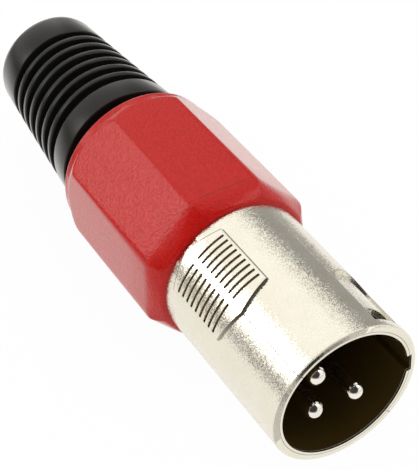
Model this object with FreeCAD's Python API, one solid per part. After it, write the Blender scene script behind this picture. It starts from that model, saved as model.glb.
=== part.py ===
"""Three-pin male cable plug for audio leads, in millimetres.

The plug's axis is Y. The plane of its mouth is y = 0, and the rest lies behind it, towards +Y.
It lies on one flat of its octagonal nut, so +Z is up. Places round the axis are given as angles
in degrees: 0 is up, and positive angles turn towards +X, which is clockwise to someone who looks
into the mouth. What stands out of the barrel is modelled on top of it and then turned to its
angle.
"""

import FreeCAD, Part
import math
import os
from FreeCAD import Vector

# Shell: the cast metal barrel with the socket in front and the nut's thread behind
shell_radius = 9.3
socket_wall = 1.15
socket_depth = 14.0
thread_wall = 0.9
rim_round = 0.25
rim_steps = 2

# Key groove along the shell's bore, and the key on the insert that slides in it
key_angle = 87.0
key_width = 2.4
key_depth = 0.5
key_clearance = 0.05

# Latch pocket on the shell, with the window that the socket's latch drops into
latch_angle = 45.0
pocket_width = 6.4
pocket_depth = 0.45
pocket_end = 10.7
window_front = 1.15
window_length = 2.7
window_corner = 0.6

# Grip pads, one a quarter turn to each side of the latch, each with two rows of slots
pad_height = 0.35
pad_width = 8.8
pad_length = 11.6
pad_margin = 0.6
pad_point = 1.1
slot_count = 9
slot_pitch = 0.925
slot_width = 0.35
slot_border = 0.25
slot_strip = 0.8

# Contact pins
pin_radius = 1.2
pin_circle_radius = 3.81
pin_tip = 1.0
pin_tip_steps = 2
pin_body_radius = 1.45
pin_fit = 0.02
cup_wall = 0.4
cup_length = 6.0
cup_floor = 1.2
cup_lip = 1.0

# Insert
insert_length = 3.5
insert_clearance = 0.05

# Ground contact: a bent strip from the shell's bore to a solder tag
strip_width = 2.4
strip_thickness = 0.4
strip_inset = 0.65
strip_length = 6.0
strip_fit = 0.03
strip_notch = 1.0

# Cable clamp: a sleeve over the solder cups that ends in four jaws
clamp_wall = 0.95
clamp_seat = 0.05
clamp_sleeve = 15.5
jaw_length = 8.0
jaw_taper = 0.5
jaw_bore_radius = 3.3
jaw_count = 4
jaw_slot = 1.2
jaw_root = 2.0

# Thread: the nut lets go of the shell after this many turns
thread_pitch = 1.25
thread_turns = 4
thread_clearance = 0.05
thread_gap = 0.3
spigot_wall = 1.05

# Nut
nut_length = 23.4
nut_across_flats = 20.8
nut_sides = 8
nut_edge_round = 0.5
nut_front_rise = 0.4
nut_front_taper = 2.7
nut_rear_taper = 2.4
nut_rear_steps = 2
nut_collar_length = 1.1
nut_collar_inset = 0.1
clamp_clearance = 0.1

# Boot
boot_gap = 2.25
boot_length = 23.65
boot_front_radius = 9.2
boot_end_radius = 7.12
boot_end_round = 1.4
boot_end_steps = 3
boot_bore_radius = 4.2
boot_neck_radius = 8.2
boot_neck_depth = 4.3
boot_clearance = 0.05
boot_play = 0.1
groove_count = 7
groove_start = 3.63
groove_pitch = 2.2
groove_width = 1.32
groove_depth = 1.1

# Stations along the axis, from the mouth to the boot's end
insert_end = socket_depth + insert_length
cup_end = insert_end + cup_length
spigot_front = insert_end + thread_gap
shell_length = spigot_front + thread_pitch * thread_turns
pad_rear = shell_length - pad_margin
pad_front = pad_rear - pad_length
clamp_front = insert_end + clamp_seat
jaw_start = clamp_front + clamp_sleeve
jaw_end = jaw_start + jaw_length
nut_end = shell_length + nut_length
neck_start = nut_end - boot_neck_depth
web_end = neck_start - boot_play
boot_start = nut_end + boot_gap
boot_end = boot_start + boot_length

# Radii that follow from the barrel's, from the outside inwards
nut_front_radius = shell_radius + nut_front_rise
pocket_floor_radius = shell_radius - pocket_depth
thread_bore_radius = shell_radius - thread_wall
socket_radius = shell_radius - socket_wall
spigot_radius = thread_bore_radius - thread_clearance
nut_bore_radius = spigot_radius - spigot_wall
clamp_radius = nut_bore_radius - clamp_clearance
clamp_sleeve_radius = clamp_radius - clamp_wall
strip_radius = clamp_sleeve_radius - strip_inset

nut_corner_radius = nut_across_flats / 2 / math.cos(math.pi / nut_sides)
nut_collar_radius = nut_across_flats / 2 - nut_collar_inset
pin_angles = {
    "pin_1": latch_angle - 90,
    "pin_2": latch_angle + 90,
    "pin_3": latch_angle + 180,
}
pad_angles = [latch_angle - 90, latch_angle + 90]

ORIGIN = Vector(0, 0, 0)
AXIS = Vector(0, 1, 0)
UP = Vector(0, 0, 1)
BEYOND = 5.0


def edges(points, place):
    """Edges through points. (a, b) ends a straight line, and (a, b, c, d) an arc by (a, b) to (c, d)."""
    made = []
    here = place(*points[0])
    for point in points[1:] + points[:1]:
        there = place(*point[-2:])
        if len(point) == 4:
            made.append(Part.Arc(here, place(*point[:2]), there).toShape())
        elif there.distanceToPoint(here) > 1e-6:
            made.append(Part.LineSegment(here, there).toShape())
        here = there
    return Part.Wire(made)


def turned(points):
    """Solid turned about the plug's axis, from points (y, radius)."""
    wire = edges(points, lambda y, radius: Vector(radius, y, 0))
    return Part.Face(wire).revolve(ORIGIN, AXIS, 360)


def raised(points, low, high):
    """Upright prism from z = low to z = high, from points (x, y)."""
    wire = edges(points, lambda x, y: Vector(x, y, low))
    return Part.Face(wire).extrude(Vector(0, 0, high - low))


def block(width, y_low, y_high, z_low, z_high):
    """Box of the given width across the axis."""
    corner = Vector(-width / 2, y_low, z_low)
    return Part.makeBox(width, y_high - y_low, z_high - z_low, corner)


def rod(radius, y_low, y_high):
    """Cylinder about the plug's axis."""
    return Part.makeCylinder(radius, y_high - y_low, Vector(0, y_low, 0), AXIS)


def at_angle(shape, angle):
    """Copy of a shape modelled at the top of the barrel, turned to its angle."""
    copy = shape.copy()
    copy.rotate(ORIGIN, AXIS, angle)
    return copy


def latch_pocket():
    """What the pocket takes off the barrel: a round-ended hollow, and the window in its front."""
    half = pocket_width / 2
    round_start = pocket_end - half
    outline = [
        (-half, window_front),
        (half, window_front),
        (half, round_start),
        (0, pocket_end, -half, round_start),
    ]
    hollow = raised(outline, 0, shell_radius + BEYOND)
    hollow = hollow.cut(rod(pocket_floor_radius, 0, pocket_end + BEYOND))

    rear = window_front + window_length
    bend = window_corner * (1 - math.sqrt(0.5))
    window = [
        (-half, window_front),
        (half, window_front),
        (half, rear - window_corner),
        (half - bend, rear - bend, half - window_corner, rear),
        (window_corner - half, rear),
        (bend - half, rear - bend, -half, rear - window_corner),
    ]
    return hollow.fuse(raised(window, socket_radius / 2, shell_radius + BEYOND))


def grip_pad():
    """Raised pad with a point at each end, and two rows of slots down to the barrel's surface."""
    half = pad_width / 2
    outline = [
        (0, pad_front),
        (half, pad_front + pad_point),
        (half, pad_rear - pad_point),
        (0, pad_rear),
        (-half, pad_rear - pad_point),
        (-half, pad_front + pad_point),
    ]
    wall_middle = (socket_radius + shell_radius) / 2
    pad = raised(outline, 0, shell_radius + BEYOND)
    pad = pad.common(rod(shell_radius + pad_height, 0, shell_length))
    pad = pad.cut(rod(wall_middle, 0, shell_length))

    slot_length = half - slot_border - slot_strip / 2
    first = pad_rear - pad_length / 2 - slot_pitch * (slot_count - 1) / 2
    for number in range(slot_count):
        low = first + number * slot_pitch - slot_width / 2
        for side in (-1, 1):
            slot = block(slot_length, low, low + slot_width, 0, shell_radius + BEYOND)
            slot.translate(Vector(side * (slot_strip + slot_length) / 2, 0, 0))
            pad = pad.cut(slot)
    return pad


def make_shell():
    """Barrel with a rounded rim, a keyed bore, the latch's pocket and two grip pads."""
    rim = []
    for step in range(rim_steps + 1):
        turn = math.radians(90 * step / rim_steps)
        rim.append((rim_round * (1 - math.cos(turn)), shell_radius - rim_round * (1 - math.sin(turn))))
    barrel = turned([(0, socket_radius)] + rim + [
        (shell_length, shell_radius),
        (shell_length, thread_bore_radius),
        (socket_depth, thread_bore_radius),
        (socket_depth, socket_radius),
    ])
    groove_floor = socket_radius + key_depth
    groove = block(key_width, -BEYOND, shell_length + BEYOND, socket_radius / 2, groove_floor)
    shell = barrel.cut(at_angle(groove, key_angle))
    shell = shell.cut(at_angle(latch_pocket(), latch_angle))
    for angle in pad_angles:
        shell = shell.fuse(at_angle(grip_pad(), angle))
    return shell.removeSplitter()


def make_insert():
    body = rod(thread_bore_radius - insert_clearance, socket_depth, insert_end)
    key_top = socket_radius + key_depth - key_clearance
    key = block(key_width - 2 * key_clearance, socket_depth, insert_end, socket_radius / 2, key_top)
    body = body.fuse(at_angle(key, key_angle))
    for angle in pin_angles.values():
        hole = rod(pin_body_radius + pin_fit, 0, cup_end)
        hole.translate(UP * pin_circle_radius)
        body = body.cut(at_angle(hole, angle))
    width = strip_width + 2 * strip_fit
    groove_start = insert_end - strip_thickness
    groove = block(width, groove_start, cup_end, strip_radius - strip_fit, shell_radius)
    return body.cut(at_angle(groove, latch_angle)).removeSplitter()


def make_pin(angle):
    """Pin with a domed tip, a thicker body held in the insert, and a solder cup open outwards."""
    dome = []
    for step in range(pin_tip_steps + 1):
        turn = math.radians(90 * step / pin_tip_steps)
        dome.append((pin_tip + pin_radius * (1 - math.cos(turn)), pin_radius * math.sin(turn)))
    cup_bore = pin_body_radius - cup_wall
    pin = turned(dome + [
        (socket_depth, pin_radius),
        (socket_depth, pin_body_radius),
        (cup_end, pin_body_radius),
        (cup_end, cup_bore),
        (insert_end + cup_floor, cup_bore),
        (insert_end + cup_floor, 0),
    ])
    mouth_start = insert_end + cup_floor + cup_lip
    pin = pin.cut(block(2 * pin_body_radius + BEYOND, mouth_start, cup_end + BEYOND, 0, BEYOND))
    pin.translate(UP * pin_circle_radius)
    return at_angle(pin, angle)


def make_ground_contact():
    """Bent strip: one leg lies in the insert's rear face and touches the shell, one is the tag."""
    front = insert_end - strip_thickness
    leg = block(strip_width, front, insert_end, strip_radius, shell_radius)
    leg = leg.common(rod(thread_bore_radius, 0, shell_length))
    tag_end = insert_end + strip_length
    tag = block(strip_width, front, tag_end, strip_radius, strip_radius + strip_thickness)
    notch = block(strip_notch, tag_end - strip_notch, tag_end + BEYOND, 0, shell_radius)
    return at_angle(leg.fuse(tag).cut(notch).removeSplitter(), latch_angle)


def make_cable_clamp():
    """Sleeve that stands on the insert, then four jaws with bevelled ends."""
    clamp = turned([
        (clamp_front, clamp_sleeve_radius),
        (clamp_front, clamp_radius),
        (jaw_end - jaw_taper, clamp_radius),
        (jaw_end, clamp_radius - jaw_taper),
        (jaw_end, jaw_bore_radius),
        (jaw_start, jaw_bore_radius),
        (jaw_start, clamp_sleeve_radius),
    ])
    slot_start = jaw_start + jaw_root
    for number in range(jaw_count // 2):
        slot = block(2 * clamp_radius, slot_start, jaw_end + BEYOND, -jaw_slot / 2, jaw_slot / 2)
        clamp = clamp.cut(at_angle(slot, latch_angle + number * 360 / jaw_count))
    return clamp.removeSplitter()


def nut_ring(y, apothem):
    """Octagon with rounded corners across the axis at y, with a flat at the top."""
    corner = apothem / math.cos(math.pi / nut_sides)
    lead = nut_edge_round * math.tan(math.pi / nut_sides)
    bulge = corner - nut_edge_round * (1 / math.cos(math.pi / nut_sides) - 1)
    half_flat = apothem * math.tan(math.pi / nut_sides) - lead
    made = []
    for number in range(nut_sides):
        middle = 2 * math.pi * number / nut_sides
        turn = FreeCAD.Rotation(AXIS, math.degrees(middle))
        next_turn = FreeCAD.Rotation(AXIS, math.degrees(middle) + 360 / nut_sides)
        half_turn = FreeCAD.Rotation(AXIS, math.degrees(middle) + 180 / nut_sides)
        start = turn.multVec(Vector(-half_flat, y, apothem))
        end = turn.multVec(Vector(half_flat, y, apothem))
        after = next_turn.multVec(Vector(-half_flat, y, apothem))
        top = half_turn.multVec(Vector(0, y, bulge))
        made.append(Part.LineSegment(start, end).toShape())
        made.append(Part.Arc(end, top, after).toShape())
    return Part.Wire(made)


def round_ring(y, radius):
    """Circle in as many arcs as the octagon has edges, with the same angles."""
    apothem = nut_across_flats / 2
    lead = nut_edge_round * math.tan(math.pi / nut_sides)
    half_flat = apothem * math.tan(math.pi / nut_sides) - lead
    flat_half_angle = math.degrees(math.atan2(half_flat, apothem))
    step = 360 / nut_sides
    stops = []
    for number in range(nut_sides):
        stops.append(number * step - flat_half_angle)
        stops.append(number * step + flat_half_angle)
    stops.append(stops[0] + 360)

    def rim(angle):
        return FreeCAD.Rotation(AXIS, angle).multVec(Vector(0, y, radius))

    arcs = [Part.Arc(rim(a), rim((a + b) / 2), rim(b)).toShape() for a, b in zip(stops, stops[1:])]
    return Part.Wire(arcs)


def nut_outside():
    """Octagonal body that runs out to a circle at the shell and to a round collar at the boot."""
    apothem = nut_across_flats / 2
    body_start = shell_length + nut_front_taper
    taper = Part.makeLoft([round_ring(shell_length, nut_front_radius), nut_ring(body_start, apothem)],
                          True, True)
    prism = Part.Face(nut_ring(body_start, apothem)).extrude(AXIS * (nut_end - body_start))

    drop = nut_corner_radius - nut_collar_radius
    bend_radius = (nut_rear_taper ** 2 + drop ** 2) / (2 * drop)
    bend_start = nut_end - nut_collar_length - nut_rear_taper
    outline = [(shell_length, 0), (shell_length, nut_corner_radius)]
    for step in range(nut_rear_steps + 1):
        turn = math.asin(nut_rear_taper / bend_radius) * step / nut_rear_steps
        outline.append((bend_start + bend_radius * math.sin(turn),
                        nut_corner_radius - bend_radius * (1 - math.cos(turn))))
    outline += [(nut_end, nut_collar_radius), (nut_end, 0)]
    return taper.fuse(prism.common(turned(outline))).removeSplitter()


def make_nut():
    """Octagonal nut with a threaded spigot in front and a seat for the boot's neck behind."""
    cone_radius = nut_bore_radius - jaw_taper
    spigot = rod(spigot_radius, spigot_front, shell_length + nut_front_taper)
    bore = turned([
        (spigot_front - BEYOND, 0),
        (spigot_front - BEYOND, nut_bore_radius),
        (jaw_end - jaw_taper, nut_bore_radius),
        (jaw_end, cone_radius),
        (web_end, cone_radius),
        (web_end, boot_neck_radius + boot_clearance),
        (nut_end + BEYOND, boot_neck_radius + boot_clearance),
        (nut_end + BEYOND, 0),
    ])
    return nut_outside().fuse(spigot).cut(bore).removeSplitter()


def boot_radius(y):
    """Radius of the boot's tapered outside at y."""
    share = (y - boot_start) / boot_length
    return boot_front_radius + share * (boot_end_radius - boot_front_radius)


def make_boot():
    """Tapered boot: a neck in the nut, a plain band, a row of grooves and a rounded end."""
    groove_front = boot_start + groove_start
    groove_rear = groove_front + (groove_count - 1) * groove_pitch + groove_width
    round_start = boot_end - boot_end_round
    outline = [
        (neck_start, boot_bore_radius),
        (neck_start, boot_neck_radius),
        (boot_start, boot_neck_radius),
        (boot_start, boot_radius((boot_start + groove_front) / 2)),
        (groove_front, boot_radius((boot_start + groove_front) / 2)),
    ]
    for number in range(groove_count):
        low = groove_front + number * groove_pitch
        high = low + groove_width
        floor = boot_radius((low + high) / 2) - groove_depth
        outline += [(low, floor), (high, floor)]
        if high < groove_rear - groove_width:
            rib = boot_radius((high + low + groove_pitch) / 2)
            outline += [(high, rib), (low + groove_pitch, rib)]
    end_radius = boot_radius((groove_rear + round_start) / 2)
    outline.append((groove_rear, end_radius))
    for step in range(boot_end_steps + 1):
        turn = math.radians(90 * step / boot_end_steps)
        outline.append((round_start + boot_end_round * math.sin(turn),
                        end_radius - boot_end_round * (1 - math.cos(turn))))
    outline.append((boot_end, boot_bore_radius))
    return turned(outline)


def main():
    parts = {
        "shell": make_shell(),
        "insert": make_insert(),
        "ground_contact": make_ground_contact(),
        "cable_clamp": make_cable_clamp(),
        "nut": make_nut(),
        "boot": make_boot(),
    }
    for name, angle in pin_angles.items():
        parts[name] = make_pin(angle)

    os.makedirs("parts", exist_ok=True)
    for name, shape in parts.items():
        shape.exportStep(f"parts/{name}.step")
        print(name, "valid", shape.isValid(), "solids", len(shape.Solids), "mm3", round(shape.Volume, 1))
    print("the nut lets go after", thread_turns, "turns and", thread_pitch * thread_turns, "mm")


main()
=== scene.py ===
import math

import bmesh
import bpy
from mathutils import Matrix, Vector


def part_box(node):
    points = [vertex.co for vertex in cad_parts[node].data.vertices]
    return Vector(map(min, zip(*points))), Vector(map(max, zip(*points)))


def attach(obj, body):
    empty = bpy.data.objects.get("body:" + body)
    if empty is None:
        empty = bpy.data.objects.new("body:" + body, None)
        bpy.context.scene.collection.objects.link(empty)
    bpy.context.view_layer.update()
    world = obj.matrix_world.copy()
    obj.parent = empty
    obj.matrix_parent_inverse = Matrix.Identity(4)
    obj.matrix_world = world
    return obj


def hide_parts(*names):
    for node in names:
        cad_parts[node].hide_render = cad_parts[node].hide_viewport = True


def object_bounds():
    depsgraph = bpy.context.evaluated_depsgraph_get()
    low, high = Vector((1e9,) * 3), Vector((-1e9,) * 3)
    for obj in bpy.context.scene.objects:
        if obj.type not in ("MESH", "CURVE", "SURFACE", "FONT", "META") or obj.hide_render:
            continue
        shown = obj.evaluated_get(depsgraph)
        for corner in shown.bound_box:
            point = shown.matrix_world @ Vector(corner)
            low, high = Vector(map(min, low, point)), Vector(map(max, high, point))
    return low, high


# A range of three numbers is low, high and softness. A range of two runs from none to full.

# Millimetres in a metre, and the share of a diagonal that lies along each of its two axes
MILLIMETRES = 1000.0
DIAGONAL = math.sqrt(0.5)

# Camera: place in metres, unit directions, focal length and near limit
CAMERA_POSITION = Vector((-0.07047, -0.08884, 0.12281))
CAMERA_RIGHT = Vector((0.85747, -0.51454, 0.0))
CAMERA_UP = Vector((0.34171, 0.56945, 0.74763))
CAMERA_BACK = CAMERA_RIGHT.cross(CAMERA_UP)
LENS = 118.13
NEAR_LIMIT = 0.01

# Large soft lamp above the plug
LAMP_WATTS = 0.25
LAMP_SIZE = 0.3
LAMP_POSITION = Vector((0.05, -0.1, 0.5))
LAMP_AIM = Vector((0.0, 0.035, 0.0))

# Plain light all round, and less of it from the front
STUDIO_LIGHT = 1.1
FRONT_LIGHT = 0.6
FRONT_LIGHT_RANGE = (0.2, -0.7)

# White floor: size, how much it glows by itself, and how its glow fades in gloss with distance
FLOOR_SIZE = 3.0
FLOOR_WHITE = 0.97
FLOOR_TINT = (0.9, 0.9, 0.9, 1.0)
FLOOR_ROUGHNESS = 0.9
FLOOR_FADING = (0.07, 0.25)
FLOOR_FADED = 0.3
WHITE = (1.0, 1.0, 1.0, 1.0)
WARM_WHITE = (1.0, 0.97, 0.93, 1.0)

# Panels of the studio that gloss mirrors: ranges of azimuth and elevation, in radians
SOFTBOX_SIDES = (-1.0, -0.62, 0.08)
SOFTBOX_HEIGHTS = (0.27, 0.62, 0.1)
SKY_SIDES = (-0.75, 0.62, 0.12)
SKY_HEIGHTS = (0.65, 1.15, 0.1)
WINDOW_SIDES = (1.8, 2.4, 0.08)
WINDOW_HEIGHTS = (0.65, 1.05, 0.08)
SCREEN_SIDES = (0.5, 1.2, 0.12)
HORIZON_HEIGHTS = (-0.03, 0.06, 0.07)

# Soft borders of the studio's other parts, in radians, and of the front as a cosine
SCREEN_FOOT = (-0.25, 0.15)
SCREEN_TOP = (0.65, 0.56)
HORIZON_SIDE = (0.1, -0.1)
FRONT_CONE = (0.55, 0.75)
FRONT_FOOT = (-0.02, 0.12)
ROOF_BORDER = (1.2, 1.35)

# Brightness of each part of the studio
STUDIO_GLOW = 1.0
SOFTBOX_GLOW = 4.6
SKY_GLOW = 1.17
HORIZON_GLOW = 0.05
SCREEN_GLOW = 0.36
FRONT_GLOW = 0.04
ROOF_GLOW = 0.5
WINDOW_GLOW = 3.0

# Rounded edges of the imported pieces
EDGE_WIDTH = 0.0001
EDGE_SEGMENTS = 3
EDGE_ANGLE = 30.0
WELD_DISTANCE = 0.000001

# Shell's bore, where shade is painted, and latch window, in millimetres
BORE_LIMIT = 8.78
BORE_WALL = 8.2
BORE_BORDER = (0.0, 0.05)
BORE_FRONT = (0.15, 0.35)
WINDOW_BORDER = (3.4, 3.3)
LATCH_SIDE = (0.0, 1.0)

# Latch pocket, in millimetres
POCKET_HALF = 3.2
POCKET_END = 10.7
POCKET_FRONT = (1.1, 1.15)
POCKET_SIDES = (POCKET_HALF, POCKET_HALF - 0.1)
POCKET_FLOOR = (8.79, 8.91, 0.03)
POCKET_WALL = (9.15, 9.25)
# Painted shade line round the pocket's edge, and how dark it is
POCKET_LINE = (POCKET_HALF, POCKET_HALF + 0.07, 0.02)
POCKET_LINE_DARK = 0.55

# Rim, in millimetres
RIM_FACE = (0.12, 0.05)
# Painted shade line on the rim's face, where its flat part meets its rounding
RIM_LINE = (8.44, 8.5, 0.03)
RIM_ROUNDING = (8.5, 8.56)
RIM_ROUNDING_END = (0.3, 0.2)
RIM_UPPER = (3.0, 5.5)
RIM_LEAN = 0.05
CASTING_START = (0.1, 0.25)

# Grip pads and their slots, in millimetres, with the slots' width and softness as shares of the pitch
PAD_TOP = 9.65
PAD_FRONT = 10.6
PAD_REAR = 22.2
PAD_HALF = 4.4
PAD_SLOPE = 0.25
PAD_BORDER = (PAD_HALF + 0.08, PAD_HALF + 0.03)
SLOT_FIRST = 12.7
SLOT_PITCH = 0.925
SLOT_COUNT = 9
SLOT_SHARE = 0.17
SLOT_SOFT = 0.02
SLOT_SPAN = (0.4, 4.15, 0.03)
SLOT_DEPTH = (PAD_TOP - 0.03, PAD_TOP - 0.15)
# Part of each slot, nearer the mouth, where the painted shade is brown, as shares of the pitch
SLOT_SHADE_BROWN_PART = (0.5, 0.44)

# Painted shade lines in front of, behind and beside the pads, the dark seam, in millimetres, and how dark
# they are
FRONT_LINE = (-0.05, 0.03, 0.03)
FRONT_LINE_DARK = 0.9
FRONT_LINE_FADED = 0.4
REAR_LINE = (0.02, 0.1, 0.03)
SIDE_LINE = (PAD_HALF, PAD_HALF + 0.05, 0.02)
SIDE_LINE_ENDS = (0.0, 0.05)
LINE_DARK = 0.8
SEAM_WIDTH = (0.07, 0.03)
SEAM_END = (PAD_FRONT + 0.05, PAD_FRONT - 0.05)
SEAM_GRAIN = 2600.0
SEAM_BREAKS = (0.42, 0.55)
SEAM_DARK = 0.93

# Shell's nickel, its blasted grain, and the painted shade in its bore, slots and along its edges, which the
# dark seam shares
NICKEL_SPECULAR = 0.1
NICKEL_CLOUDS = 350.0
NICKEL_DULL = (0.85, 0.82, 0.71)
NICKEL_BRIGHT = (0.88, 0.86, 0.76)
NICKEL_ROUGHNESS = (0.13, 0.18)
GRAIN_CELL = 0.0001
GRAIN_TILT = 0.18
GRAIN_DARK = 0.12
GRAIN_TINT = (0.3, 0.27, 0.2)
# Dark brown of the painted shade in the slots and along the pads', rim's and pocket's edges, also the
# colour of the parting seam
SHADE_AND_SEAM_BROWN = (0.04, 0.025, 0.01)
# Brown of the painted shade in the slots, on their parts nearer the mouth
SLOT_SHADE_BROWN = (0.3, 0.16, 0.05)
# Dark brown of the painted shade in the bore
BORE_SHADE = (0.045, 0.026, 0.004)
# Roughness where shade is painted and on the seam
SHADE_AND_SEAM_ROUGHNESS = 0.6

# Noise: its number of finer layers, and how strong each is
NOISE_DETAIL = 3.0
NOISE_ROUGHNESS = 0.6

# Plate on the pins and the ground contact
CONTACT_CLOUDS = 900.0
CONTACT_DULL = (0.85, 0.83, 0.77)
CONTACT_BRIGHT = (0.92, 0.91, 0.87)
CONTACT_ROUGHNESS = (0.1, 0.16)
CONTACT_GRAIN = 3000.0
CONTACT_RELIEF = 0.000003

# Moulded plastic and rubber, and the clear coat that shows where a surface turns away
CLOUD_BORDERS = (0.3, 0.7)
MOULDED_CLOUDS = 260.0
MOULDED_SPECULAR = 0.26
MOULDED_COAT_ROUGHNESS = 0.25
MOULDED_COAT_START = 0.4
COAT_FULL = 0.8
COAT_BLEND = 0.5

# Red plastic of the nut, the painted highlight on its sharp edges and its parting line
NUT_SPECULAR = 0.3
NUT_COAT_ROUGHNESS = 0.2
NUT_COAT_START = 0.45
NUT_ROUGHNESS = (0.24, 0.19)
NUT_DARK_RED = (0.47, 0.004, 0.002)
NUT_RED = (0.56, 0.006, 0.003)
NUT_HIGHLIGHT_RED = (0.6, 0.02, 0.015)
NUT_SEAM_RED = (0.2, 0.002, 0.002)
NUT_SEAM_HALF = 0.05
NUT_SEAM_SOFT = 0.03
NUT_SEAM_GRAIN = 500.0
NUT_SEAM_BREAKS = (0.3, 0.5)
NUT_SEAM_DARK = 0.8
LEATHER_GRAIN = 3000.0
LEATHER_DETAIL = 1.0
LEATHER_BORDERS = (0.35, 0.65)
LEATHER_RELIEF = 0.00006
HIGHLIGHT_RADIUS = 0.0002
HIGHLIGHT_SAMPLES = 4
HIGHLIGHT_BEND = (0.985, 0.9)
HIGHLIGHT_GRAIN = 900.0
HIGHLIGHT_BREAKS = (0.4, 0.65)

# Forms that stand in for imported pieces
MERGE_DISTANCE = 0.0000005
SHARP_ANGLE = 35.0
CORNER_STEPS = 4

# Pins
PIN_RADIUS = 0.0012
PIN_STEP = 0.014
PIN_CUP_FLOOR = 0.0187
PIN_CUP_MOUTH = 0.0197
PIN_CUP_BORE = 0.00105
PIN_POINTS = 48
PIN_CUP_POINTS = 25
PIN_DOME_STEPS = 8

# Nut: an octagon with a slight draft, a taper in front and a turned rounding behind
NUT_SIDES = 8
NUT_SHARPNESS = 260.0
NUT_FRONT_APOTHEM = 0.01056
NUT_REAR_APOTHEM = 0.01036
NUT_FRONT_RADIUS = 0.0097
NUT_FRONT_EDGE = 0.00035
NUT_TAPER = 0.0027
NUT_BULGE = 0.8
NUT_CORNER_RADIUS = 0.01126
NUT_COLLAR_RADIUS = 0.0104
NUT_COLLAR = 0.0011
NUT_REAR_TAPER = 0.0024
NUT_LIP = 0.0004
NUT_SEAT_RADIUS = 0.00825
NUT_SEAT_END = 0.0418
NUT_CONE_RADIUS = 0.0068
NUT_CONE_START = 0.04105
NUT_CONE = 0.0005
NUT_BORE_RADIUS = 0.0073
NUT_SPIGOT_RADIUS = 0.00835

# Nut's steps: to each side of a flat, how far they crowd to its corners, and along the axis
NUT_FLAT_STEPS = 10
NUT_CROWDING = 2.2
NUT_EDGE_STEPS = 5
NUT_TAPER_STEPS = 11
NUT_LENGTH_STEPS = 4
NUT_BEND_STEPS = 10
NUT_LIP_STEPS = 5

# Boot, turned about the plug's axis and bent a little towards +X
BOOT_POINTS = 128
BOOT_LENGTH = 0.02365
BOOT_NECK_RADIUS = 0.0082
BOOT_NECK_ROUND = 0.0003
BOOT_BORE_RADIUS = 0.0042
GROOVES = 7
GROOVE_START = 0.00363
GROOVE_PITCH = 0.0022
GROOVE_WIDTH = 0.00132
GROOVE_DEPTH = 0.0011
GROOVE_ROUND = 0.0002
RIB_ROUND = 0.0002
BOOT_FRONT_RADIUS = 0.0092
BOOT_END_RADIUS = 0.00712
BOOT_END_ROUND = 0.0018
BOOT_BEND = 0.0003
BOOT_REACH = 0.0004


def add(tree, kind, inputs=None, **settings):
    """A node with its settings and its inputs, each given as a value or as another node's output."""
    node = tree.nodes.new("ShaderNode" + kind)
    for name, value in settings.items():
        setattr(node, name, value)
    for name, value in (inputs or {}).items():
        if isinstance(value, bpy.types.NodeSocket):
            tree.links.new(value, node.inputs[name])
        else:
            node.inputs[name].default_value = value
    return node


def math_node(tree, operation, a, b=0.0):
    return add(tree, "Math", {0: a, 1: b}, operation=operation).outputs[0]


def vector_node(tree, operation, a, b):
    return add(tree, "VectorMath", {0: a, 1: b}, operation=operation).outputs["Vector"]


def dot_product(tree, a, b):
    return add(tree, "VectorMath", {0: a, 1: b}, operation="DOT_PRODUCT").outputs["Value"]


def scaled(tree, vector, scale):
    return add(tree, "VectorMath", {0: vector, "Scale": scale}, operation="SCALE").outputs["Vector"]


def normalized(tree, vector):
    return add(tree, "VectorMath", {0: vector}, operation="NORMALIZE").outputs["Vector"]


def length(tree, vector):
    return add(tree, "VectorMath", {0: vector}, operation="LENGTH").outputs["Value"]


def rise(tree, value, low, high):
    """0 at low, 1 at high, and smooth between them."""
    node = add(tree, "MapRange", {"Value": value, "From Min": low, "From Max": high},
               interpolation_type="SMOOTHSTEP")
    return node.outputs["Result"]


def hump(tree, value, low, high, soft):
    """1 between low and high, and 0 outside, with soft sides."""
    up = rise(tree, value, low - soft, low + soft)
    down = rise(tree, value, high + soft, high - soft)
    return math_node(tree, "MULTIPLY", up, down)


def product(tree, first, *others):
    for other in others:
        first = math_node(tree, "MULTIPLY", first, other)
    return first


def either(tree, first, *others):
    for other in others:
        first = math_node(tree, "MAXIMUM", first, other)
    return first


def mixed(tree, share, a, b):
    """a where share is 0 and b where it is 1, for numbers."""
    return add(tree, "Mix", {0: share, 2: a, 3: b}, data_type="FLOAT").outputs[0]


def mixed_color(tree, share, a, b):
    a = a if isinstance(a, bpy.types.NodeSocket) else (*a, 1.0)
    b = b if isinstance(b, bpy.types.NodeSocket) else (*b, 1.0)
    return add(tree, "Mix", {0: share, 6: a, 7: b}, data_type="RGBA").outputs[2]


def mixed_vector(tree, share, a, b):
    return add(tree, "Mix", {0: share, 4: a, 5: b}, data_type="VECTOR").outputs[1]


def grain(tree, scale, detail=NOISE_DETAIL):
    """Noise that stays on the object."""
    place = add(tree, "TexCoord").outputs["Object"]
    inputs = {"Vector": place, "Scale": scale, "Detail": detail, "Roughness": NOISE_ROUGHNESS}
    return add(tree, "TexNoise", inputs).outputs["Fac"]


def clouds(tree, scale):
    return rise(tree, grain(tree, scale), *CLOUD_BORDERS)


def cells(tree, size):
    """White noise that is the same all through each small cell."""
    place = add(tree, "TexCoord").outputs["Object"]
    return add(tree, "TexWhiteNoise", {"Vector": vector_node(tree, "SNAP", place, (size, size, size))})


def place_in_mm(tree):
    """x, y, z and the distance from the plug's axis, in millimetres."""
    place = add(tree, "TexCoord").outputs["Object"]
    x, y, z = add(tree, "SeparateXYZ", {0: scaled(tree, place, MILLIMETRES)}).outputs
    squares = math_node(tree, "ADD", product(tree, x, x), product(tree, z, z))
    return x, y, z, math_node(tree, "SQRT", squares)


def new_material(name):
    material = bpy.data.materials.new(name)
    material.use_nodes = True
    tree = material.node_tree
    return material, tree, tree.nodes["Principled BSDF"]


def feed(tree, shader, **inputs):
    for name, value in inputs.items():
        tree.links.new(value, shader.inputs[name.replace("_", " ")])


def bumped(tree, height, distance):
    return add(tree, "Bump", {"Height": height, "Distance": distance}).outputs["Normal"]


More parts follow.
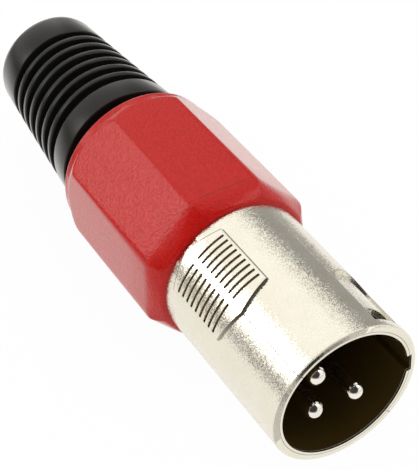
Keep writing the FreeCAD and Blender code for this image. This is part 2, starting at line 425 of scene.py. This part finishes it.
def coated(tree, shader, specular, roughness, start):
    """A clear coat that shows only where the surface turns away, from start on."""
    shader.inputs["Specular IOR Level"].default_value = specular
    shader.inputs["Coat Roughness"].default_value = roughness
    facing = add(tree, "LayerWeight", {"Blend": COAT_BLEND}).outputs["Facing"]
    feed(tree, shader, Coat_Weight=rise(tree, facing, start, COAT_FULL))


def edge_highlight(tree, radius):
    """Mask of a painted highlight: 1 on sharp outer edges, broken up by noise, and 0 elsewhere."""
    bevelled = add(tree, "Bevel", {"Radius": radius}, samples=HIGHLIGHT_SAMPLES).outputs["Normal"]
    flat = add(tree, "NewGeometry").outputs["Normal"]
    bent = rise(tree, dot_product(tree, bevelled, flat), *HIGHLIGHT_BEND)
    return product(tree, bent, rise(tree, grain(tree, HIGHLIGHT_GRAIN), *HIGHLIGHT_BREAKS))


def sparkle(tree, normal, cell, tilt):
    """Normals turned a little at random in each small cell, as on a blasted surface."""
    noise = cells(tree, cell).outputs["Color"]
    turn = scaled(tree, vector_node(tree, "SUBTRACT", noise, (0.5, 0.5, 0.5)), tilt)
    return normalized(tree, vector_node(tree, "ADD", normal, turn))


def grip_pads(tree, y, radius, across):
    """Masks of the painted shade in the pads' slots, of its brown part in each slot, and of the painted
    shade lines round the pads with the dark seam.
    """
    fading = mixed(tree, rise(tree, across, 0.0, -PAD_HALF), 1.0, FRONT_LINE_FADED)
    across = math_node(tree, "ABSOLUTE", across)
    count = product(tree, math_node(tree, "SUBTRACT", y, SLOT_FIRST), 1 / SLOT_PITCH)
    phase = math_node(tree, "FRACT", math_node(tree, "ADD", count, 0.5))
    # Painted shade in the slots
    slots = product(
        tree,
        hump(tree, phase, 0.5 - SLOT_SHARE, 0.5 + SLOT_SHARE, SLOT_SOFT),
        hump(tree, count, -0.5, SLOT_COUNT - 0.5, SLOT_SOFT),
        hump(tree, across, *SLOT_SPAN),
        rise(tree, radius, *SLOT_DEPTH),
    )
    # Brown painted shade on the part of each slot nearer the mouth
    slot_shade_brown = product(tree, slots, rise(tree, phase, *SLOT_SHADE_BROWN_PART))

    slope = product(tree, across, PAD_SLOPE)
    from_front = math_node(tree, "SUBTRACT", math_node(tree, "SUBTRACT", y, PAD_FRONT), slope)
    from_rear = math_node(tree, "SUBTRACT", math_node(tree, "SUBTRACT", PAD_REAR, y), slope)
    in_pad = rise(tree, across, *PAD_BORDER)
    # Painted shade along the pads' front, rear and side edges; the seam below is the casting's parting line
    front_line = product(tree, hump(tree, from_front, *FRONT_LINE), in_pad, fading, FRONT_LINE_DARK)
    rear_line = product(tree, hump(tree, from_rear, *REAR_LINE), in_pad, LINE_DARK)
    side_line = product(
        tree,
        hump(tree, across, *SIDE_LINE),
        rise(tree, from_front, *SIDE_LINE_ENDS),
        rise(tree, from_rear, *SIDE_LINE_ENDS),
        LINE_DARK,
    )
    seam = product(
        tree,
        rise(tree, across, *SEAM_WIDTH),
        rise(tree, y, *SEAM_END),
        rise(tree, grain(tree, SEAM_GRAIN), *SEAM_BREAKS),
        SEAM_DARK,
    )
    return slots, slot_shade_brown, either(tree, front_line, rear_line, side_line, seam)


def latch_pocket(tree, y, radius, beside, latch_side):
    """Masks of the painted shade line round the latch pocket and of the pocket's floor."""
    behind = math_node(tree, "MAXIMUM", math_node(tree, "SUBTRACT", y, POCKET_END - POCKET_HALF), 0.0)
    reach = length(tree, add(tree, "CombineXYZ", {0: beside, 1: behind}).outputs[0])
    at_pocket = product(tree, latch_side, rise(tree, y, *POCKET_FRONT))
    # Painted shade along the pocket's edge
    line = product(
        tree,
        hump(tree, reach, *POCKET_LINE),
        rise(tree, radius, *POCKET_WALL),
        at_pocket,
        POCKET_LINE_DARK,
    )
    floor = product(tree, rise(tree, reach, *POCKET_SIDES), hump(tree, radius, *POCKET_FLOOR), at_pocket)
    return line, floor


def nickel():
    """Satin nickel over a blasted casting, with painted shade in the bore, in the slots and along the
    pads', rim's and pocket's edges, and a dark parting seam.
    """
    material, tree, shader = new_material("nickel")
    shader.inputs["Specular IOR Level"].default_value = NICKEL_SPECULAR
    x, y, z, radius = place_in_mm(tree)
    across = product(tree, math_node(tree, "ADD", x, z), DIAGONAL)
    upper = product(tree, math_node(tree, "SUBTRACT", z, x), DIAGONAL)
    beside = math_node(tree, "ABSOLUTE", upper)
    latch_side = rise(tree, across, *LATCH_SIDE)
    window = product(tree, rise(tree, beside, *WINDOW_BORDER), latch_side)
    limit = mixed(tree, window, BORE_LIMIT, BORE_WALL)
    # Painted shade in the bore, which stops short of the latch window's walls
    inside = rise(tree, math_node(tree, "SUBTRACT", limit, radius), *BORE_BORDER)
    bore = product(tree, inside, rise(tree, y, *BORE_FRONT))

    slots, slot_shade_brown, pad_lines = grip_pads(tree, y, radius, across)
    pocket_line, pocket_floor = latch_pocket(tree, y, radius, beside, latch_side)
    # Painted shade line round the rim's face
    rim_line = product(tree, hump(tree, radius, *RIM_LINE), rise(tree, y, *RIM_FACE), LINE_DARK)
    # Painted shade in the slots and along the pads', rim's and pocket's edges, with the parting seam
    shade_and_seam = either(tree, slots, pad_lines, rim_line, pocket_line)
    dull = either(tree, shade_and_seam, bore)

    cloudy = clouds(tree, NICKEL_CLOUDS)
    tint = mixed_color(tree, cloudy, NICKEL_DULL, NICKEL_BRIGHT)
    speck = product(tree, cells(tree, GRAIN_CELL).outputs["Value"], GRAIN_DARK)
    tint = mixed_color(tree, speck, tint, GRAIN_TINT)
    # Painted shade and the seam in dark brown, brown on the slots' parts nearer the mouth
    tint = mixed_color(tree, shade_and_seam, tint, mixed_color(tree, slot_shade_brown, SHADE_AND_SEAM_BROWN, SLOT_SHADE_BROWN))
    # Painted shade in the bore: dark brown in place of the nickel
    feed(tree, shader, Base_Color=mixed_color(tree, bore, tint, BORE_SHADE))
    feed(tree, shader, Metallic=mixed(tree, dull, 1.0, 0.0))
    polish = mixed(tree, cloudy, *NICKEL_ROUGHNESS)
    feed(tree, shader, Roughness=mixed(tree, dull, polish, SHADE_AND_SEAM_ROUGHNESS))

    normal = add(tree, "NewGeometry").outputs["Normal"]
    lean = product(tree, radius, -RIM_LEAN)
    outwards = normalized(tree, add(tree, "CombineXYZ", {0: x, 1: lean, 2: z}).outputs[0])
    rounding = product(tree, rise(tree, radius, *RIM_ROUNDING), rise(tree, y, *RIM_ROUNDING_END))
    upper_rounding = product(tree, rounding, rise(tree, upper, *RIM_UPPER))
    normal = mixed_vector(tree, upper_rounding, normal, outwards)
    normal = mixed_vector(tree, pocket_floor, normal, (DIAGONAL, 0.0, DIAGONAL))
    cast = either(tree, rounding, rise(tree, y, *CASTING_START))
    rough = sparkle(tree, normal, GRAIN_CELL, GRAIN_TILT)
    feed(tree, shader, Normal=mixed_vector(tree, cast, normal, rough))
    return material


def contact():
    """Bright plate on the pins and the ground contact."""
    material, tree, shader = new_material("contact")
    shader.inputs["Metallic"].default_value = 1.0
    cloudy = clouds(tree, CONTACT_CLOUDS)
    feed(tree, shader, Base_Color=mixed_color(tree, cloudy, CONTACT_DULL, CONTACT_BRIGHT))
    feed(tree, shader, Roughness=mixed(tree, cloudy, *CONTACT_ROUGHNESS))
    feed(tree, shader, Normal=bumped(tree, grain(tree, CONTACT_GRAIN), CONTACT_RELIEF))
    return material


def moulded(name, dark, light, roughness, scale, relief):
    """Moulded plastic or rubber: a small change of colour and gloss, over a fine grain."""
    material, tree, shader = new_material(name)
    coated(tree, shader, MOULDED_SPECULAR, MOULDED_COAT_ROUGHNESS, MOULDED_COAT_START)
    cloudy = clouds(tree, MOULDED_CLOUDS)
    feed(tree, shader, Base_Color=mixed_color(tree, cloudy, dark, light))
    feed(tree, shader, Roughness=mixed(tree, cloudy, *roughness))
    feed(tree, shader, Normal=bumped(tree, grain(tree, scale), relief))
    return material


def nut_plastic():
    """Red gloss plastic with a fine leathery grain and a parting line in front of the flats."""
    material, tree, shader = new_material("nut_plastic")
    coated(tree, shader, NUT_SPECULAR, NUT_COAT_ROUGHNESS, NUT_COAT_START)
    y = place_in_mm(tree)[1]
    seam_at = (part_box("shell")[1].y + NUT_TAPER) * MILLIMETRES
    seam = hump(tree, y, seam_at - NUT_SEAM_HALF, seam_at + NUT_SEAM_HALF, NUT_SEAM_SOFT)
    seam_breaks = rise(tree, grain(tree, NUT_SEAM_GRAIN), *NUT_SEAM_BREAKS)
    seam = product(tree, seam, seam_breaks, NUT_SEAM_DARK)
    leather = grain(tree, LEATHER_GRAIN, LEATHER_DETAIL)
    cloudy = rise(tree, leather, *LEATHER_BORDERS)
    tint = mixed_color(tree, cloudy, NUT_DARK_RED, NUT_RED)
    # Painted highlight: lighter red on the sharp edges
    tint = mixed_color(tree, edge_highlight(tree, HIGHLIGHT_RADIUS), tint, NUT_HIGHLIGHT_RED)
    feed(tree, shader, Base_Color=mixed_color(tree, seam, tint, NUT_SEAM_RED))
    feed(tree, shader, Roughness=mixed(tree, cloudy, *NUT_ROUGHNESS))
    feed(tree, shader, Normal=bumped(tree, leather, LEATHER_RELIEF))
    return material


def make_world():
    """Plain soft light, and for gloss a white studio with the dark strips of a real one."""
    world = bpy.data.worlds.new("studio")
    bpy.context.scene.world = world
    world.use_nodes = True
    tree = world.node_tree
    tree.nodes.clear()
    direction = add(tree, "TexCoord").outputs["Generated"]
    axes = add(tree, "SeparateXYZ", {0: direction}).outputs
    elevation = math_node(tree, "ARCSINE", axes["Z"])
    azimuth = math_node(tree, "ARCTAN2", axes["X"], axes["Y"])
    towards_camera = dot_product(tree, direction, CAMERA_BACK)

    def panel(sides, heights):
        return product(tree, hump(tree, azimuth, *sides), hump(tree, elevation, *heights))

    horizon = product(tree, rise(tree, azimuth, *HORIZON_SIDE), hump(tree, elevation, *HORIZON_HEIGHTS))
    screen = product(tree, hump(tree, azimuth, *SCREEN_SIDES), rise(tree, elevation, *SCREEN_FOOT),
                     rise(tree, elevation, *SCREEN_TOP))
    front = product(tree, rise(tree, towards_camera, *FRONT_CONE), rise(tree, elevation, *FRONT_FOOT))
    parts = (
        (panel(SOFTBOX_SIDES, SOFTBOX_HEIGHTS), SOFTBOX_GLOW),
        (panel(SKY_SIDES, SKY_HEIGHTS), SKY_GLOW),
        (horizon, HORIZON_GLOW),
        (screen, SCREEN_GLOW),
        (front, FRONT_GLOW),
        (rise(tree, elevation, *ROOF_BORDER), ROOF_GLOW),
        (panel(WINDOW_SIDES, WINDOW_HEIGHTS), WINDOW_GLOW),
    )
    glow = STUDIO_GLOW
    for mask, strength in parts:
        glow = mixed(tree, mask, glow, strength)
    in_front = rise(tree, axes["Y"], *FRONT_LIGHT_RANGE)
    daylight = mixed(tree, in_front, STUDIO_LIGHT, FRONT_LIGHT)

    seen = add(tree, "Background", {"Color": WHITE, "Strength": 1.0})
    mirrored = add(tree, "Background", {"Color": WARM_WHITE, "Strength": glow})
    plain = add(tree, "Background", {"Color": WHITE, "Strength": daylight})
    rays = add(tree, "LightPath").outputs
    shader = add(tree, "MixShader", {0: rays["Is Glossy Ray"], 1: plain.outputs[0], 2: mirrored.outputs[0]})
    clear = either(tree, rays["Is Camera Ray"], rays["Is Transmission Ray"])
    shader = add(tree, "MixShader", {0: clear, 1: shader.outputs[0], 2: seen.outputs[0]})
    add(tree, "OutputWorld", {"Surface": shader.outputs[0]})


def make_camera():
    data = bpy.data.cameras.new("camera")
    camera = bpy.data.objects.new("camera", data)
    bpy.context.scene.collection.objects.link(camera)
    data.lens = LENS
    data.clip_start = NEAR_LIMIT
    camera.matrix_world = Matrix([
        [CAMERA_RIGHT[i], CAMERA_UP[i], CAMERA_BACK[i], CAMERA_POSITION[i]] for i in range(3)
    ] + [[0.0, 0.0, 0.0, 1.0]])
    bpy.context.scene.camera = camera


def make_lamp():
    """Large soft lamp above the plug, which gloss doesn't mirror."""
    data = bpy.data.lights.new("softbox", "AREA")
    data.energy = LAMP_WATTS
    data.size = LAMP_SIZE
    lamp = bpy.data.objects.new("softbox", data)
    lamp.location = LAMP_POSITION
    lamp.rotation_euler = (LAMP_AIM - lamp.location).to_track_quat("-Z", "Y").to_euler()
    lamp.visible_camera = False
    lamp.visible_glossy = False
    bpy.context.scene.collection.objects.link(lamp)


def make_floor(height):
    """White floor that keeps a faint shadow."""
    bpy.ops.mesh.primitive_plane_add(size=FLOOR_SIZE, location=(0.0, 0.0, height))
    floor = bpy.context.object
    floor.name = "floor"
    material, tree, shader = new_material("floor")
    shader.inputs["Base Color"].default_value = FLOOR_TINT
    shader.inputs["Roughness"].default_value = FLOOR_ROUGHNESS
    shader.inputs["Specular IOR Level"].default_value = 0.0
    rays = add(tree, "LightPath").outputs
    place = add(tree, "TexCoord").outputs["Object"]
    fading = mixed(tree, rise(tree, length(tree, place), *FLOOR_FADING), 1.0, FLOOR_FADED)
    glow = mixed(tree, rays["Is Glossy Ray"], 1.0, fading)
    color = mixed_color(tree, rays["Is Glossy Ray"], WHITE[:3], WARM_WHITE[:3])
    white = add(tree, "Emission", {"Color": color, "Strength": glow})
    seen = either(tree, rays["Is Camera Ray"], rays["Is Glossy Ray"], rays["Is Transmission Ray"])
    share = product(tree, seen, FLOOR_WHITE)
    mix = add(tree, "MixShader", {0: share, 1: shader.outputs[0], 2: white.outputs[0]})
    tree.links.new(mix.outputs[0], tree.nodes["Material Output"].inputs["Surface"])
    floor.data.materials.append(material)


def round_edges(obj):
    """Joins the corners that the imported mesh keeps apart, rounds its edges and evens its shading."""
    obj.modifiers.new("weld", "WELD").merge_threshold = WELD_DISTANCE
    modifier = obj.modifiers.new("round", "BEVEL")
    modifier.width = EDGE_WIDTH
    modifier.segments = EDGE_SEGMENTS
    modifier.limit_method = "ANGLE"
    modifier.angle_limit = math.radians(EDGE_ANGLE)
    modifier.use_clamp_overlap = True
    modifier = obj.modifiers.new("even", "WEIGHTED_NORMAL")
    modifier.mode = "FACE_AREA_WITH_ANGLE"
    modifier.keep_sharp = True


def corner(points, at, before, after, radius):
    """Adds the corner at `at` to a profile, rounded by radius between its two neighbours' directions."""
    towards = (before - at).normalized()
    away = (after - at).normalized()
    half = towards.angle(away) / 2
    reach = radius / math.tan(half)
    centre = at + (towards + away).normalized() * (radius / math.sin(half))
    first = (at + towards * reach - centre).normalized()
    last = (at + away * reach - centre).normalized()
    for step in range(CORNER_STEPS + 1):
        points.append(centre + first.slerp(last, step / CORNER_STEPS) * radius)


def rounded_profile(stops):
    """Points of a profile given as (y, radius, rounding), with each corner rounded."""
    places = [Vector((y, r)) for y, r, _ in stops]
    points = []
    for i, (_, _, rounding) in enumerate(stops):
        if rounding:
            corner(points, places[i], places[i - 1], places[i + 1], rounding)
        else:
            points.append(places[i])
    return points


def turns(count, start=0.0, sweep=2 * math.pi):
    """Angles at even steps, round the whole axis or over a part of it with both ends."""
    steps = count if sweep == 2 * math.pi else count - 1
    return [start + sweep * i / steps for i in range(count)]


def run_of(start, run, steps):
    """Places at even steps over a run, with both ends."""
    return [start + run * step / steps for step in range(steps + 1)]


def quarter_turn(steps):
    """Angles at even steps over a quarter turn, with both ends."""
    return [math.radians(90 * step / steps) for step in range(steps + 1)]


def on_axis(y):
    return 0.0, 0.0


def turned(profile, angles, centre=on_axis):
    """Rings of points for a profile of (y, radius), about the plug's axis or a line beside it."""
    rings = []
    for y, radius in profile:
        x, z = centre(y)
        rings.append([(x + radius * math.sin(a), y, z + radius * math.cos(a)) for a in angles])
    return rings


def skin(form, rings, around=True):
    """Faces from each ring to the next, and from the last to the first. Open rings get flat ends."""
    rows = [[form.verts.new(point) for point in ring] for ring in rings]
    count = len(rows[0])
    for a, b in zip(rows, rows[1:] + rows[:1]):
        for i in range(count if around else count - 1):
            j = (i + 1) % count
            form.faces.new((a[i], a[j], b[j], b[i]))
    if not around:
        form.faces.new([row[0] for row in rows])
        form.faces.new([row[-1] for row in rows])


def finish_form(form, name, slot, body):
    """Object from a built mesh, on a body of the frame and with the material of its slot."""
    bmesh.ops.remove_doubles(form, verts=form.verts, dist=MERGE_DISTANCE)
    bmesh.ops.recalc_face_normals(form, faces=form.faces)
    mesh = bpy.data.meshes.new(name)
    form.to_mesh(mesh)
    form.free()
    mesh.shade_smooth()
    mesh.set_sharp_from_angle(angle=math.radians(SHARP_ANGLE))
    mesh.materials.append(materials[slot])
    obj = bpy.data.objects.new(name, mesh)
    bpy.context.scene.collection.objects.link(obj)
    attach(obj, body)
    return obj


def make_pin(name):
    """Pin with a round dome, a step into the insert and a solder cup that opens outwards."""
    low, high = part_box(name)
    x, z = (low.x + high.x) / 2, (low.z + high.z) / 2
    body_radius = (high.x - low.x) / 2
    outwards = math.atan2(x, z)
    profile = []
    for a in quarter_turn(PIN_DOME_STEPS):
        profile.append((low.y + PIN_RADIUS * (1 - math.cos(a)), PIN_RADIUS * math.sin(a)))
    profile += [
        (PIN_STEP, PIN_RADIUS),
        (PIN_STEP, body_radius),
        (PIN_CUP_MOUTH, body_radius),
        (PIN_CUP_MOUTH, PIN_CUP_BORE),
        (PIN_CUP_FLOOR, PIN_CUP_BORE),
        (PIN_CUP_FLOOR, 0.0),
    ]
    trough = [
        (PIN_CUP_MOUTH, body_radius),
        (high.y, body_radius),
        (high.y, PIN_CUP_BORE),
        (PIN_CUP_MOUTH, PIN_CUP_BORE),
    ]
    form = bmesh.new()
    skin(form, turned(profile, turns(PIN_POINTS), lambda y: (x, z)))
    inward_half = turns(PIN_CUP_POINTS, outwards + math.pi / 2, math.pi)
    skin(form, turned(trough, inward_half, lambda y: (x, z)), around=False)
    pin = finish_form(form, name + "_form", "contact", "plug")
    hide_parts(name)


def octagon(angle, apothem):
    """Radius of an octagon with rounded corners and a flat at the top."""
    total = 0.0
    for side in range(NUT_SIDES):
        total += max(math.cos(angle - 2 * math.pi * side / NUT_SIDES), 0.0) ** NUT_SHARPNESS
    return apothem / total ** (1 / NUT_SHARPNESS)


def rear_limit(y, rear):
    """Radius to which the nut is turned down behind: a bend, a collar and a rounded edge."""
    drop = NUT_CORNER_RADIUS - NUT_COLLAR_RADIUS
    bend = (NUT_REAR_TAPER ** 2 + drop ** 2) / (2 * drop)
    depth = min(max(y - (rear - NUT_COLLAR - NUT_REAR_TAPER), 0.0), NUT_REAR_TAPER)
    radius = NUT_CORNER_RADIUS - bend + math.sqrt(bend ** 2 - depth ** 2)
    edge = min(max(y - (rear - NUT_LIP), 0.0), NUT_LIP)
    return radius - NUT_LIP + math.sqrt(NUT_LIP ** 2 - edge ** 2)


def nut_radius(angle, y, front, rear):
    """Radius of the nut's outside: a circle in front that swells to a drafted octagon."""
    share = (y - front) / (rear - front)
    radius = octagon(angle, NUT_FRONT_APOTHEM + share * (NUT_REAR_APOTHEM - NUT_FRONT_APOTHEM))
    run = min((y - front) / NUT_TAPER, 1.0)
    run += NUT_BULGE * run * (1 - run)
    radius = NUT_FRONT_RADIUS + run * (radius - NUT_FRONT_RADIUS)
    edge = max(NUT_FRONT_EDGE - (y - front), 0.0)
    radius -= NUT_FRONT_EDGE - math.sqrt(NUT_FRONT_EDGE ** 2 - edge ** 2)
    limit = rear_limit(y, rear)
    return limit * (1 + (limit / radius) ** NUT_SHARPNESS) ** (-1 / NUT_SHARPNESS)


def nut_angles():
    """Angles all round, closer together at the octagon's corners."""
    angles = []
    for side in range(NUT_SIDES):
        middle = 2 * math.pi * side / NUT_SIDES
        for step in range(-NUT_FLAT_STEPS, NUT_FLAT_STEPS):
            share = step / NUT_FLAT_STEPS
            crowded = math.copysign(1 - (1 - abs(share)) ** NUT_CROWDING, share)
            angles.append(middle + math.pi / NUT_SIDES * crowded)
    return angles


def make_nut():
    """Octagonal nut with soft edges, around the same bores and spigot as the solid."""
    low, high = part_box("nut")
    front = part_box("shell")[1].y
    rear = high.y
    angles = nut_angles()
    stations = [front + NUT_FRONT_EDGE * (1 - math.cos(a)) for a in quarter_turn(NUT_EDGE_STEPS)[:-1]]
    stations += run_of(front + NUT_FRONT_EDGE, NUT_TAPER - NUT_FRONT_EDGE, NUT_TAPER_STEPS)
    taper_end = stations[-1]
    bend_start = rear - NUT_COLLAR - NUT_REAR_TAPER
    stations += run_of(taper_end, bend_start - taper_end, NUT_LENGTH_STEPS)[1:]
    stations += run_of(bend_start, NUT_REAR_TAPER, NUT_BEND_STEPS)[1:]
    stations += [rear - NUT_LIP * math.cos(a) for a in quarter_turn(NUT_LIP_STEPS)]
    rings = []
    for y in stations:
        radii = [nut_radius(a, y, front, rear) for a in angles]
        rings.append([(r * math.sin(a), y, r * math.cos(a)) for a, r in zip(angles, radii)])
    inside = [
        (rear, NUT_SEAT_RADIUS),
        (NUT_SEAT_END, NUT_SEAT_RADIUS),
        (NUT_SEAT_END, NUT_CONE_RADIUS),
        (NUT_CONE_START, NUT_CONE_RADIUS),
        (NUT_CONE_START - NUT_CONE, NUT_BORE_RADIUS),
        (low.y, NUT_BORE_RADIUS),
        (low.y, NUT_SPIGOT_RADIUS),
        (front, NUT_SPIGOT_RADIUS),
    ]
    form = bmesh.new()
    skin(form, rings + turned(inside, angles))
    nut = finish_form(form, "nut_form", "nut_plastic", "nut")
    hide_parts("nut")


def make_boot():
    """Rubber boot with rounded ribs, in the place of the plain turned one."""
    low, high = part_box("boot")
    front = high.y - BOOT_LENGTH
    slope = (BOOT_END_RADIUS - BOOT_FRONT_RADIUS) / BOOT_LENGTH

    def outer(y):
        return BOOT_FRONT_RADIUS + (y - front) * slope

    def bent(y):
        return BOOT_BEND * max((y - front) / BOOT_LENGTH, 0.0) ** 2, 0.0

    stops = [
        (low.y, BOOT_BORE_RADIUS, 0.0),
        (low.y, BOOT_NECK_RADIUS, BOOT_NECK_ROUND),
        (front, BOOT_NECK_RADIUS, 0.0),
        (front, outer(front), RIB_ROUND),
    ]
    for number in range(GROOVES):
        start = front + GROOVE_START + number * GROOVE_PITCH
        end = start + GROOVE_WIDTH
        floor = outer((start + end) / 2) - GROOVE_DEPTH
        stops += [
            (start, outer(start), RIB_ROUND),
            (start, floor, GROOVE_ROUND),
            (end, floor, GROOVE_ROUND),
            (end, outer(end), RIB_ROUND),
        ]
    rear = high.y + BOOT_REACH
    stops += [(rear, outer(rear), BOOT_END_ROUND), (rear, BOOT_BORE_RADIUS, 0.0)]
    form = bmesh.new()
    skin(form, turned(rounded_profile(stops), turns(BOOT_POINTS), bent))
    boot = finish_form(form, "boot_form", "boot_rubber", "boot")
    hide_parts("boot")


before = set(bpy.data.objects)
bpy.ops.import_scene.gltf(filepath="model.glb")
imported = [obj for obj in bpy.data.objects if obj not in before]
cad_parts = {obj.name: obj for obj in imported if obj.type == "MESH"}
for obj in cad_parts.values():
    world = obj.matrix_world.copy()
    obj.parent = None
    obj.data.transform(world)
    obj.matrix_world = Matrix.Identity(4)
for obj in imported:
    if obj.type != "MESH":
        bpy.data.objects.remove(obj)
cad_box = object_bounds()
bpy.context.scene.view_settings.view_transform = "Standard"

materials = {
    "nickel": nickel(),
    "contact": contact(),
    "insert_plastic": moulded("insert_plastic", dark=(0.014, 0.009, 0.005), light=(0.02, 0.013, 0.007),
                              roughness=(0.5, 0.6), scale=1500.0, relief=0.00001),
    "clamp_plastic": moulded("clamp_plastic", dark=(0.02, 0.02, 0.02), light=(0.03, 0.03, 0.03),
                             roughness=(0.4, 0.55), scale=1500.0, relief=0.00001),
    "nut_plastic": nut_plastic(),
    "boot_rubber": moulded("boot_rubber", dark=(0.007, 0.0065, 0.006), light=(0.01, 0.0095, 0.009),
                           roughness=(0.26, 0.32), scale=1800.0, relief=0.000006),
}
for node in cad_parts.values():
    for slot in node.material_slots:
        slot.material = materials[slot.material.name.split(".")[0]]

for name in ("shell", "insert", "cable_clamp", "ground_contact"):
    round_edges(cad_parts[name])
for name in ("pin_1", "pin_2", "pin_3"):
    make_pin(name)
make_nut()
make_boot()

make_world()
make_camera()
make_lamp()
make_floor(cad_box[0].z)
